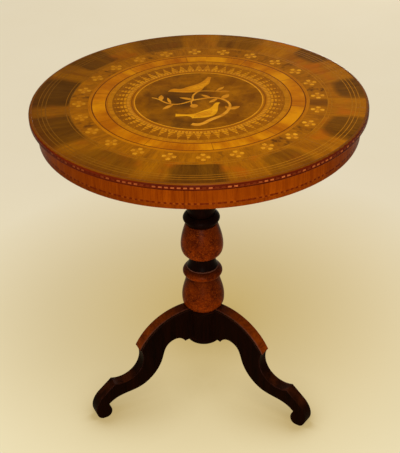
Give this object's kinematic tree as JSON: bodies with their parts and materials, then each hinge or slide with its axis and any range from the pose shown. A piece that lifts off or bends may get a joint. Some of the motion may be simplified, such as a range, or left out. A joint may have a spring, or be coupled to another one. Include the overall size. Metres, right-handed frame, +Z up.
{
  "type": "wine table",
  "caption": "Tripod wine table: round tilting marquetry top with an apron on a turned column with scroll legs, held level by a sliding catch.",
  "frame": {"origin": "on the floor under the column's axis", "axes": "+Z up; -Y is the front, between two legs; the third leg points along +Y; the top tilts about X"},
  "size_m": [0.65, 0.6499, 0.7],
  "materials": {
    "burr": "polished red-brown burr veneer",
    "ebonised": "ebonised, French polished",
    "dark_walnut": "polished dark walnut",
    "amber": "polished amber olivewood",
    "pale": "polished pale boxwood",
    "golden": "polished golden maple",
    "rust": "polished orange-brown cherry",
    "leaf_veneer": "polished heartwood with sapwood edges",
    "red_brown": "polished red-brown mahogany",
    "apron": "polished cross-grained mahogany",
    "carcase": "unfinished pine",
    "hardwood": "oiled beech",
    "brass": "aged brass",
    "iron": "dull iron"
  },
  "bodies": {
    "base": {"hinge_block": "hardwood", "pivot_pins": "iron", "keeper_plate": "brass", "spindle": "hardwood", "spindle_wedge": "hardwood", "capital": "ebonised", "upper_baluster": "burr", "upper_collar": "ebonised", "upper_bulb": "burr", "cove_neck": "ebonised", "mid_ring": "burr", "lower_bulb": "burr", "leg_drum": "ebonised", "bottom_boss": "ebonised", "leg_right": "ebonised", "leg_left": "ebonised", "leg_back": "ebonised", "knee_cap_right": "red_brown", "knee_cap_left": "red_brown", "knee_cap_back": "red_brown"},
    "top": {"board_front": "carcase", "board_middle": "carcase", "board_back": "carcase", "rim_lipping": "red_brown", "rim_chequer": "pale", "apron_core": "carcase", "apron_veneer": "apron", "apron_chequer": "pale", "glue_blocks": "carcase", "roundel_ground": "dark_walnut", "upper_bird": "rust", "lower_bird": "golden", "bird_wings": "golden", "branch_inlay": "golden", "leaf_inlay": "golden", "roundel_line": "pale", "amber_fillets": "amber", "dark_lines": "dark_walnut", "bead_ring": "pale", "spike_ground": "dark_walnut", "spike_inlay": "pale", "light_ring": "pale", "amber_band": "amber", "flower_ground": "leaf_veneer", "flower_petals": "pale", "flower_centres": "dark_walnut", "border_lines": "pale", "border_strip": "dark_walnut", "outer_leaves": "leaf_veneer", "fine_lines": "pale", "bearer_left": "hardwood", "bearer_right": "hardwood", "bearer_screws": "iron", "catch_plate": "brass", "catch_screws": "iron"},
    "bolt": {"catch_bolt": "brass", "bolt_knob": "brass"}
  },
  "joints": [
    {"name": "top_tilt", "type": "hinge", "parent": "base", "child": "top", "pos_m": [0, -0.08, 0.674], "axis": [1, 0, 0], "range_deg": [0, 90]},
    {"name": "bolt_slide", "type": "slide", "parent": "top", "child": "bolt", "axis": [0, -1, 0], "range_m": [0, 0.01]}
  ]
}
